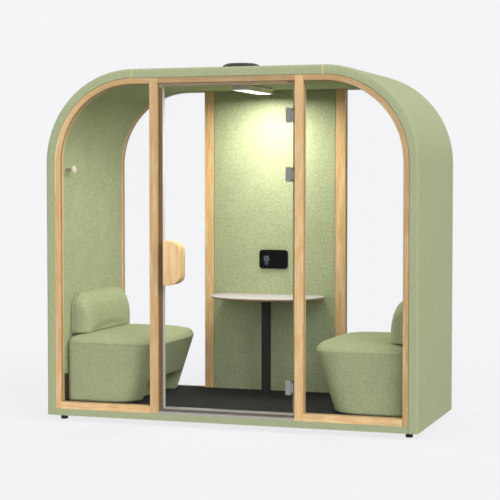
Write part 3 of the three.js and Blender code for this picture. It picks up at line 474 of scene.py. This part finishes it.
felt = wool("wool_felt", GREEN, 620, 0.06)
lining_felt = wool("lining_felt", GREEN, 620, 0.17)
upholstery = wool("upholstery_wool", CUSHION_GREEN, 480, 0.11, wear_and_top_shade=0.1)
ash_upright = timber("ash_upright", upright_grain, 1.06)
ash_mullion = timber("ash_mullion", upright_grain, 0.86)
ash_post = timber("ash_post", upright_grain, 0.96)
ash_handle = timber("ash_handle", upright_grain, 1.07, figure=0.45)
ash_level = timber("ash_level", level_grain, 1.08)
ash_arched = timber("ash_arched", arched_grain, 0.97, crown=0.82)
ash_head = timber("ash_head", arched_grain, 0.655)
ash_turned = timber("ash_turned", arched_grain, 0.75)
birch = hook_wood("birch")
clear = glass("float_glass")
brass = brushed("satin_brass", (0.86, 0.72, 0.22), 0.38, 1, 0.03, 1)
champagne = door_stop_metal("champagne_anodised")
threshold_metal = threshold_look("threshold_anodised")
hinge_steel = brushed("brushed_steel", (0.30, 0.295, 0.285), 0.4, 1, 1, 0.05)
hinge_bronze = brushed("bronzed_steel", (0.20, 0.175, 0.14), 0.4, 1, 1, 0.05)
powder_coat = moulded("black_powder_coat", (0.017, 0.018, 0.017), 0.6, 1500, 0.0002, 0.15)
black_plastic = moulded("black_plastic", (0.03, 0.032, 0.029), 0.5, 1300, 0.00025)
panel_gloss = moulded("panel_gloss", (0.0024, 0.0026, 0.0030), 0.22, 500, 0.00003, 0.04)
brush_pile = door_brush("door_seal_pile")
bead_rubber = front_bead("bead_rubber")
pale_bead = moulded("pale_bead_rubber", (0.50, 0.41, 0.30), 0.6, 1100, 0.0002)
brown_board = moulded("brown_skirting", (0.036, 0.029, 0.019), 0.6, 700, 0.0002)
taupe_coat = moulded("lamp_coat", (0.82, 0.76, 0.64), 0.45, 1400, 0.0001)
carpet_look = loop_carpet("loop_carpet")
table_look = laminated_board("white_laminate_board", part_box("table_top")[1].z)
lens = glowing_lens("lamp_lens")
icon_light = moulded("icon_print", (0.30, 0.40, 0.46), 0.4, 900, 0.00005)

FINISHES = {
    "plinth": felt,
    "floor_deck": brown_board,
    "carpet": carpet_look,
    "roof_panel": felt,
    "ceiling_lining": lining_felt,
    "back_panel": lining_felt,
    "front_head_rail": ash_head,
    "back_head_rail": ash_head,
    "back_sill": ash_level,
    "door_stop_frame": champagne,
    "door_threshold": threshold_metal,
    "door_seal": brush_pile,
    "door_glass": clear,
    "outer_handle": ash_handle,
    "inner_handle": ash_handle,
    "lamp_housing": taupe_coat,
    "lamp_diffuser": lens,
    "vent_cap": black_plastic,
    "fan_housing": black_plastic,
    "fan_rotor": black_plastic,
    "table_top": table_look,
    "table_column": powder_coat,
    "control_panel": panel_gloss,
    "coat_hook": birch,
}
for side in ("left", "right"):
    FINISHES[f"{side}_wall_shell"] = felt
    FINISHES[f"{side}_lining"] = lining_felt
    FINISHES[f"{side}_seam_strip"] = brass
    FINISHES[f"front_{side}_stile"] = ash_arched
    FINISHES[f"front_{side}_mullion"] = ash_upright
    FINISHES[f"front_{side}_sill"] = ash_level
    FINISHES[f"front_{side}_glass"] = clear
    FINISHES[f"back_{side}_stile"] = ash_arched
    FINISHES[f"back_{side}_post"] = ash_post
    FINISHES[f"back_{side}_glass"] = clear
    FINISHES[f"levelling_foot_front_{side}"] = black_plastic
    FINISHES[f"levelling_foot_back_{side}"] = black_plastic
    FINISHES[f"{side}_bench_base"] = upholstery
    FINISHES[f"{side}_seat_pad"] = upholstery
    FINISHES[f"{side}_back_cushion"] = upholstery
FINISHES["front_left_mullion"] = ash_mullion
FINISHES["front_right_stile"] = ash_turned
FINISHES["back_right_stile"] = ash_turned
for height in ("lower", "middle", "upper"):
    FINISHES[f"{height}_hinge_leaf"] = hinge_bronze
    FINISHES[f"{height}_hinge_clamp"] = hinge_steel


def smoothing_group():
    """Geometry nodes that join split corners and shade smooth across gentle edges only."""
    group = bpy.data.node_groups.new("smooth_gentle_edges", "GeometryNodeTree")
    group.interface.new_socket("Geometry", in_out="INPUT", socket_type="NodeSocketGeometry")
    group.interface.new_socket("Geometry", in_out="OUTPUT", socket_type="NodeSocketGeometry")
    start = group.nodes.new("NodeGroupInput")
    end = group.nodes.new("NodeGroupOutput")
    merge = group.nodes.new("GeometryNodeMergeByDistance")
    merge.inputs["Distance"].default_value = 1e-5
    angle = group.nodes.new("GeometryNodeInputMeshEdgeAngle")
    steep = group.nodes.new("ShaderNodeMath")
    steep.operation = "GREATER_THAN"
    steep.inputs[1].default_value = SMOOTH_BELOW
    normal = group.nodes.new("GeometryNodeSetMeshNormal")
    normal.inputs["Remove Custom"].default_value = True
    group.links.new(start.outputs[0], merge.inputs["Geometry"])
    group.links.new(merge.outputs[0], normal.inputs["Mesh"])
    group.links.new(angle.outputs["Unsigned Angle"], steep.inputs[0])
    group.links.new(steep.outputs[0], normal.inputs["Edge Sharpness"])
    group.links.new(normal.outputs[0], end.inputs[0])
    return group


smoothing = smoothing_group()
for name, node in nodes.items():
    node.data.materials.clear()
    node.data.materials.append(FINISHES[name])
    node.modifiers.new("smooth", "NODES").node_group = smoothing


def piece_of(name, points, faces, material, smooth=True):
    """A piece of the scene's own, which rides on the pod."""
    mesh = bpy.data.meshes.new(name)
    mesh.from_pydata([tuple(point) for point in points], [], faces)
    mesh.materials.append(material)
    mesh.update()
    for polygon in mesh.polygons:
        polygon.use_smooth = smooth
    piece = bpy.data.objects.new(name, mesh)
    scene.collection.objects.link(piece)
    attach(piece, "pod")
    return piece


def looped(rings):
    """Points and faces of a strip whose section goes round through these closed rings."""
    count = len(rings[0])
    points = [point for ring in rings for point in ring]
    faces = []
    for r in range(len(rings)):
        here, there = r * count, (r + 1) % len(rings) * count
        for i in range(count):
            j = (i + 1) % count
            faces.append((here + i, here + j, there + j, there + i))
    return points, faces


BAY_STEPS = 18  # of the quarter turn
BEAD = 0.0025  # width and height of a glazing bead
BEAD_FIT = 0.0003  # from the timber
BEAD_LIFT = 0.0002  # from the glass


def bay_outline(side, inner, sill, inset):
    """Loop of (x, z) round one glazed bay, drawn in by inset."""
    radius = CORNER - BAND - inset
    loop = [(inner + inset, sill + inset), (HALF_WIDTH - BAND - inset, sill + inset)]
    for step in range(BAY_STEPS + 1):
        angle = step / BAY_STEPS * math.pi / 2
        loop.append((CROWN + radius * math.cos(angle), SPRING + radius * math.sin(angle)))
    loop.append((inner + inset, TOP - BAND - inset))
    return [(side * x, z) for x, z in loop]


def glazing_beads():
    """Rubber beads on both faces of the fixed panes where they meet the timber, pale at the back."""
    mullion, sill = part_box("front_right_mullion")[1].x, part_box("front_right_sill")[1].z
    post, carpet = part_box("back_right_post")[1].x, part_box("carpet")[1].z
    profile = [(0, 0), (0, BEAD), (BEAD * 0.5, BEAD), (BEAD, BEAD * 0.4), (BEAD, 0)]
    for hand, side in (("left", -1), ("right", 1)):
        for face, inner, foot, bead in (
            ("front", mullion, sill, bead_rubber),
            ("back", post, carpet, pale_bead),
        ):
            low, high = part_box(f"{face}_{hand}_glass")
            for where, y, out in (("outer", low.y, -1), ("inner", high.y, 1)):
                rings = []
                for inset, rise in profile:
                    loop = bay_outline(side, inner, foot, inset + BEAD_FIT)
                    level = y + out * (rise + BEAD_LIFT)
                    rings.append([Vector((x, level, z)) for x, z in loop])
                if side * out > 0:
                    rings.reverse()
                points, faces = looped(rings)
                name = f"{face}_{hand}_{where}_bead"
                piece_of(name, points, faces, bead, smooth=False)


SKIRTING = 0.006  # thickness
SKIRTING_HEIGHT = 0.182
SKIRTING_EASE = 0.004  # height of the bevel along the top
SKIRTING_LAP = 0.038  # how far a board runs in behind the round of a bench
SKIRTING_FRONT = -0.449
SKIRTING_BACK = 0.483
SKIRTING_FIT = 0.0003  # from the carpet


def skirtings():
    """Brown boards along the foot of each side wall, in front of and behind a bench."""
    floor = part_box("carpet")[1].z + SKIRTING_FIT
    profile = [
        (0, 0), (SKIRTING, 0), (SKIRTING, SKIRTING_HEIGHT - SKIRTING_EASE),
        (SKIRTING / 2, SKIRTING_HEIGHT), (0, SKIRTING_HEIGHT),
    ]
    count = len(profile)
    for hand, side in (("left", -1), ("right", 1)):
        low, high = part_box(f"{hand}_bench_base")
        for end, y0, y1 in (
            ("front", SKIRTING_FRONT, low.y + SKIRTING_LAP),
            ("back", high.y - SKIRTING_LAP, SKIRTING_BACK),
        ):
            points = []
            for y in (y0, y1):
                points += [Vector((side * (WALL_FACE - out), y, floor + up)) for out, up in profile]
            faces = [(i, (i + 1) % count, (i + 1) % count + count, i + count) for i in range(count)]
            faces += [tuple(reversed(range(count))), tuple(range(count, 2 * count))]
            if side > 0:
                faces = [tuple(reversed(face)) for face in faces]
            name = f"{hand}_{end}_skirting"
            piece_of(name, points, faces, brown_board, smooth=False)


MARK_STEPS = 40
MARK_THICK = 0.0005
MARK_LIFT = 0.0001
MARK_INSET = 0.052  # from the panel's left edge
PANEL_MARKS = (  # name, height from the panel's middle, outer and inner radius
    ("panel_ring", 0.004, 0.0178, 0.0146),
    ("panel_dot", 0.004, 0.0032, 0.0008),
    ("panel_small_ring", -0.030, 0.0055, 0.0025),
)


def panel_marks():
    """Thin printed rings on the control panel, which looks along -Y."""
    low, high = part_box("control_panel")
    x, y, middle = low.x + MARK_INSET, low.y - MARK_LIFT, (low.z + high.z) / 2
    turns = [step / MARK_STEPS * 2 * math.pi for step in range(MARK_STEPS)]
    for name, height, outer, inner in PANEL_MARKS:
        z = middle + height
        section = ((outer, 0), (outer, MARK_THICK), (inner, MARK_THICK), (inner, 0))
        points, faces = looped([
            [Vector((x + r * math.cos(turn), y - rise, z + r * math.sin(turn))) for turn in turns]
            for r, rise in section
        ])
        piece_of(name, points, faces, icon_light, smooth=False)


TABLE_HALF = 0.385  # as in the CAD model, and so is the reach
TABLE_REACH = 0.445
TABLE_WIDEST = 0.11  # from the wall to the widest place
TABLE_CORNER = 0.075  # how far the corners draw in towards the wall
TABLE_POWER = 2.3  # squareness of the rounded front
TABLE_REAR_STEPS = 10
TABLE_FRONT_STEPS = 64
TABLE_BEVEL = 0.0085
TABLE_EASE = 0.002  # round of the upper edge


def table_outline():
    """Loop of (across, out from the wall) round the table top."""
    rear = []
    for step in range(TABLE_REAR_STEPS + 1):
        angle = step / TABLE_REAR_STEPS * math.pi / 2
        rear.append((
            TABLE_HALF - TABLE_CORNER * (1 - math.sin(angle)),
            TABLE_WIDEST * (1 - math.cos(angle)),
        ))
    front = []
    for step in range(1, TABLE_FRONT_STEPS):
        angle = step / TABLE_FRONT_STEPS * math.pi
        across = math.copysign(abs(math.cos(angle)) ** (2 / TABLE_POWER), math.cos(angle))
        out = math.sin(angle) ** (2 / TABLE_POWER)
        front.append((TABLE_HALF * across, TABLE_WIDEST + (TABLE_REACH - TABLE_WIDEST) * out))
    return rear + front + [(-across, out) for across, out in reversed(rear)]


def table_board():
    """The table top, widest a little in front of the wall, eased above and bevelled below."""
    low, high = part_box("table_top")
    outline = table_outline()
    count = len(outline)
    levels = (
        (TABLE_BEVEL, low.z), (TABLE_BEVEL - 0.001, low.z + 0.0004),
        (0.0004, low.z + TABLE_BEVEL - 0.001), (0.0, low.z + TABLE_BEVEL),
        (0.0, high.z - TABLE_EASE), (0.0006, high.z - 0.0006), (TABLE_EASE, high.z),
    )
    points, faces = [], []
    for inset, z in levels:
        points += [
            Vector((across * (1 - inset / TABLE_HALF), high.y - out * (1 - inset / TABLE_REACH), z))
            for across, out in outline
        ]
    for r in range(len(levels) - 1):
        here, there = r * count, (r + 1) * count
        for i in range(count):
            j = (i + 1) % count
            faces.append((here + j, here + i, there + i, there + j))
    faces.append(tuple(range(count)))
    faces.append(tuple(reversed(range((len(levels) - 1) * count, len(levels) * count))))
    board = piece_of("table_board", points, faces, table_look)
    board.modifiers.new("smooth", "NODES").node_group = smoothing
    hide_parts("table_top")


def welded(node):
    """Points and faces of a CAD node with its shared corners joined."""
    source = nodes[node].data
    known, points, faces = {}, [], []
    for polygon in source.polygons:
        face = []
        for corner in polygon.vertices:
            place = source.vertices[corner].co
            key = tuple(round(value, 6) for value in place)
            if key not in known:
                known[key] = len(points)
                points.append(place.copy())
            face.append(known[key])
        faces.append(face)
    return points, faces


def baked(piece):
    """Applies the modifiers of a piece by taking its evaluated mesh."""
    graph = bpy.context.evaluated_depsgraph_get()
    mesh = bpy.data.meshes.new_from_object(piece.evaluated_get(graph))
    piece.modifiers.clear()
    piece.data = mesh


COVER_DEPTH = 7  # octree depth of the even mesh of a cover


def drawn_cover(node, smooth, draw, held):
    """A soft CAD solid as an even mesh, drawn in by draw except where held(place)."""
    points, faces = welded(node)
    mesh = bpy.data.meshes.new(f"{node}_cover")
    mesh.from_pydata([tuple(point) for point in points], [], faces)
    piece = bpy.data.objects.new(f"{node}_cover", mesh)
    scene.collection.objects.link(piece)
    remesh = piece.modifiers.new("even", "REMESH")
    remesh.mode = "SHARP"
    remesh.octree_depth = COVER_DEPTH
    remesh.scale = 0.9
    remesh.use_remove_disconnected = False
    baked(piece)
    free = piece.vertex_groups.new(name="free")
    for vertex in piece.data.vertices:
        free.add([vertex.index], 0.0 if held(vertex.co) else 1.0, "REPLACE")
    inward = piece.modifiers.new("inward", "DISPLACE")
    inward.strength = -draw
    inward.mid_level = 0.0
    inward.vertex_group = "free"
    soften(piece, smooth)
    baked(piece)
    return piece


def soften(piece, times):
    """Evens out the free part of a cover."""
    ease = piece.modifiers.new("soften", "SMOOTH")
    ease.factor = 0.5
    ease.iterations = times
    ease.vertex_group = "free"


def evened(mesh, values):
    """Each point's value averaged with those of its neighbours."""
    total = list(values)
    count = [1] * len(values)
    for edge in mesh.edges:
        a, b = edge.vertices
        total[a] += values[b]
        total[b] += values[a]
        count[a] += 1
        count[b] += 1
    return [value / number for value, number in zip(total, count)]


PRESSURE = 3.0
PAD_SWELL = 0.006  # the most that a seat pad swells
CUSHION_SWELL = 0.009
SIM_FRAMES = 20
SWELL_ROUNDS = 8  # of evening out


def blow_up(piece, cap):
    """Fills the cover as cloth under pressure. Its free part swells outwards by cap at most."""
    start = [vertex.co.copy() for vertex in piece.data.vertices]
    outward = [vertex.normal.copy() for vertex in piece.data.vertices]
    free = piece.vertex_groups["free"].index
    held = piece.vertex_groups.new(name="held")
    for vertex in piece.data.vertices:
        loose = next((entry.weight for entry in vertex.groups if entry.group == free), 0.0)
        held.add([vertex.index], 1.0 - loose, "REPLACE")
    cloth = piece.modifiers.new("stuffing", "CLOTH")
    settings = cloth.settings
    settings.quality = 5
    settings.mass = 0.35
    settings.tension_stiffness = 22
    settings.compression_stiffness = 22
    settings.shear_stiffness = 12
    settings.bending_stiffness = 6.0
    settings.use_pressure = True
    settings.uniform_pressure_force = PRESSURE
    settings.vertex_group_mass = "held"
    settings.effector_weights.gravity = 0.0
    cloth.collision_settings.use_collision = False
    for number in range(1, SIM_FRAMES + 1):
        scene.frame_set(number)
    graph = bpy.context.evaluated_depsgraph_get()
    blown = [vertex.co.copy() for vertex in piece.evaluated_get(graph).data.vertices]
    scene.frame_set(1)
    piece.modifiers.remove(cloth)
    swell = [
        min(max((after - before).dot(out), 0.0), cap)
        for before, after, out in zip(start, blown, outward)
    ]
    for _ in range(SWELL_ROUNDS):
        swell = evened(piece.data, swell)
    for vertex, before, out, rise in zip(piece.data.vertices, start, outward, swell):
        vertex.co = before + out * rise
    soften(piece, 3)
    baked(piece)


def upholster(piece, node):
    """Finishes a cover: cloth, one subdivision, and the CAD node it stands for."""
    piece.vertex_groups.clear()
    piece.data.materials.clear()
    piece.data.materials.append(upholstery)
    for polygon in piece.data.polygons:
        polygon.use_smooth = True
    fine = piece.modifiers.new("fine", "SUBSURF")
    fine.levels = 1
    fine.render_levels = 1
    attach(piece, "pod")
    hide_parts(node)


def mirrored(piece, name):
    """The same cover for the bench across the pod."""
    mesh = piece.data.copy()
    for vertex in mesh.vertices:
        vertex.co.x = -vertex.co.x
    mesh.flip_normals()
    twin = bpy.data.objects.new(name, mesh)
    scene.collection.objects.link(twin)
    return twin


WELT = 0.0031  # radius of the sewn edge between a seat pad and its base
WELT_SIDES = 10
WELT_MIDDLE = -0.85  # across, a place inside the left seat
SEAM_NEAR = 0.0005  # a point this little above the seam lies on it
WALL_NEAR = 0.006  # a point this close to the wall is left out of the welt


def seat_welts():
    """The sewn edge that lies in the seam round the three free sides of each seat pad."""
    corners, _ = welded("left_seat_pad")
    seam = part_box("left_seat_pad")[0].z
    edge = [place for place in corners if place.z < seam + SEAM_NEAR and place.x > WALL_NEAR - WALL_FACE]
    edge.sort(key=lambda place: math.atan2(place.y, place.x - WELT_MIDDLE))
    path = [Vector((place.x, place.y, seam)) for place in edge]
    last = len(path) - 1
    for hand, side in (("left", 1), ("right", -1)):
        points, faces = [], []
        for i, place in enumerate(path):
            along = (path[min(i + 1, last)] - path[max(i - 1, 0)]).normalized()
            out = along.cross(Vector((0, 0, 1)))
            for step in range(WELT_SIDES):
                angle = step / WELT_SIDES * 2 * math.pi
                up = Vector((0, 0, WELT * math.sin(angle)))
                point = place + out * WELT * math.cos(angle) + up
                points.append(Vector((side * point.x, point.y, point.z)))
        for i in range(last):
            here, there = i * WELT_SIDES, (i + 1) * WELT_SIDES
            for step in range(WELT_SIDES):
                after = (step + 1) % WELT_SIDES
                faces.append((here + step, here + after, there + after, there + step))
        faces.append(tuple(reversed(range(WELT_SIDES))))
        faces.append(tuple(range(last * WELT_SIDES, (last + 1) * WELT_SIDES)))
        if side > 0:
            faces = [tuple(reversed(face)) for face in faces]
        piece_of(f"{hand}_seat_welt", points, faces, upholstery)


SEAM_HELD = 0.010  # height beside the seam that keeps the shape of the CAD model
WALL_HELD = 0.012  # depth of a back cushion that stays on the wall
PAD_DRAWN = 0.004  # how far a cover is drawn in before it swells
CUSHION_DRAWN = 0.005


def seating():
    """Sewn covers of the left bench, filled, and their twins on the right."""
    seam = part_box("left_seat_pad")[0].z
    base = drawn_cover("left_bench_base", 4, 0.0, lambda place: place.z > seam - SEAM_HELD)
    pad = drawn_cover("left_seat_pad", 3, PAD_DRAWN, lambda place: place.z < seam + SEAM_HELD)
    cushion = drawn_cover(
        "left_back_cushion", 4, CUSHION_DRAWN, lambda place: place.x < WALL_HELD - WALL_FACE
    )
    blow_up(pad, PAD_SWELL)
    blow_up(cushion, CUSHION_SWELL)
    for part, piece, fill in (
        ("bench_base", base, 1.0), ("seat_pad", pad, 0.9), ("back_cushion", cushion, 0.85),
    ):
        twin = mirrored(piece, f"right_{part}_cover")
        upholster(piece, f"left_{part}")
        upholster(twin, f"right_{part}")


glazing_beads()
skirtings()
panel_marks()
table_board()
seating()
seat_welts()


def floor_look():
    """Pale floor that keeps the shadow near the pod and fades into the background further off."""
    look = Look("pale_floor")
    around = SIDE_SKY + (1 - SIDE_SKY) * 4 / (3 * math.pi)
    overhead = SKY * around * (1 + 2 * ZENITH) / 3 + KEY * math.sin(KEY_ELEVATION) / math.pi
    bounced = look.add("ShaderNodeLightPath").outputs["Is Diffuse Ray"]
    tone = look.blend(bounced, shade(BACKGROUND, 1 / overhead), (FLOOR_BOUNCE,) * 3)
    near = look.add("ShaderNodeBsdfDiffuse", {"Color": tone}).outputs[0]
    glow = look.blend(bounced, BACKGROUND, (FLOOR_BOUNCE,) * 3)
    far = look.add("ShaderNodeEmission", {"Color": glow, "Strength": 1.0}).outputs[0]
    away = look.add("ShaderNodeVectorMath", {0: look.where}, operation="LENGTH").outputs["Value"]
    fade = look.within(away, 2.0, 6.0, 1.0 - FLOOR_SHADOW, 1.0)
    look.surface(look.add("ShaderNodeMixShader", {0: fade, 1: near, 2: far}).outputs[0])
    return look.material


def pale_floor():
    mesh = bpy.data.meshes.new("floor")
    corners = ((-1, -1), (1, -1), (1, 1), (-1, 1))
    mesh.from_pydata([(x * FLOOR_REACH, y * FLOOR_REACH, 0) for x, y in corners], [], [(0, 1, 2, 3)])
    mesh.materials.append(floor_look())
    floor = bpy.data.objects.new("floor", mesh)
    scene.collection.objects.link(floor)


def sky():
    """Soft light from all round, brightest low down in front and behind, on a plain background."""
    world = bpy.data.worlds.new("studio")
    world.use_nodes = True
    world.node_tree.nodes.clear()
    scene.world = world
    light = Nodes(world.node_tree)
    path = light.add("ShaderNodeLightPath").outputs
    shown = light.sum("MAXIMUM", path["Is Camera Ray"], path["Is Glossy Ray"])
    shown = light.sum("MAXIMUM", shown, path["Is Transmission Ray"])
    aim = light.split(light.add("ShaderNodeTexCoord").outputs["Generated"])
    upward = light.within(aim["Z"], 0.0, 1.0, SKY, SKY * ZENITH)
    around = light.within(light.sum("ABSOLUTE", aim["Y"]), 0.0, 1.0, SIDE_SKY, 1.0)
    strength = light.sum("MULTIPLY", upward, around)
    lighting = light.add("ShaderNodeBackground", {"Strength": strength}).outputs[0]
    backdrop = light.add("ShaderNodeBackground", {"Color": BACKGROUND}).outputs[0]
    mixed = light.add("ShaderNodeMixShader", {0: shown, 1: lighting, 2: backdrop}).outputs[0]
    light.add("ShaderNodeOutputWorld", {"Surface": mixed})


def key_light():
    data = bpy.data.lights.new("key", "SUN")
    data.energy = KEY
    data.angle = KEY_SOFTNESS
    key = bpy.data.objects.new("key", data)
    towards = Vector((
        math.cos(KEY_ELEVATION) * math.sin(KEY_AZIMUTH),
        -math.cos(KEY_ELEVATION) * math.cos(KEY_AZIMUTH),
        math.sin(KEY_ELEVATION),
    ))
    key.rotation_euler = towards.to_track_quat("Z", "Y").to_euler()
    scene.collection.objects.link(key)


def ceiling_light():
    """What the pod's own lamp gives, just below its lens."""
    low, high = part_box("lamp_diffuser")
    data = bpy.data.lights.new("ceiling_lamp", "AREA")
    data.shape = "RECTANGLE"
    data.size = (high.x - low.x) * 0.9
    data.size_y = (high.y - low.y) * 0.94
    data.spread = LAMP_SPREAD
    data.energy = LAMP_POWER
    data.color = LAMP_COLOUR
    lamp = bpy.data.objects.new("ceiling_lamp", data)
    lamp.location = ((low.x + high.x) / 2, (low.y + high.y) / 2, low.z - LAMP_DROP)
    lamp.visible_camera = False
    lamp.visible_glossy = False
    lamp.visible_transmission = False
    scene.collection.objects.link(lamp)


def photo_camera():
    data = bpy.data.cameras.new("camera")
    data.lens = CAMERA_LENS
    data.sensor_width = 36.0
    camera = bpy.data.objects.new("camera", data)
    camera.location = CAMERA_PLACE
    camera.rotation_euler = (math.radians(90 - CAMERA_DIP), 0.0, math.radians(CAMERA_TURN))
    scene.collection.objects.link(camera)
    scene.camera = camera


pale_floor()
sky()
key_light()
ceiling_light()
photo_camera()
scene.view_settings.view_transform = "Standard"
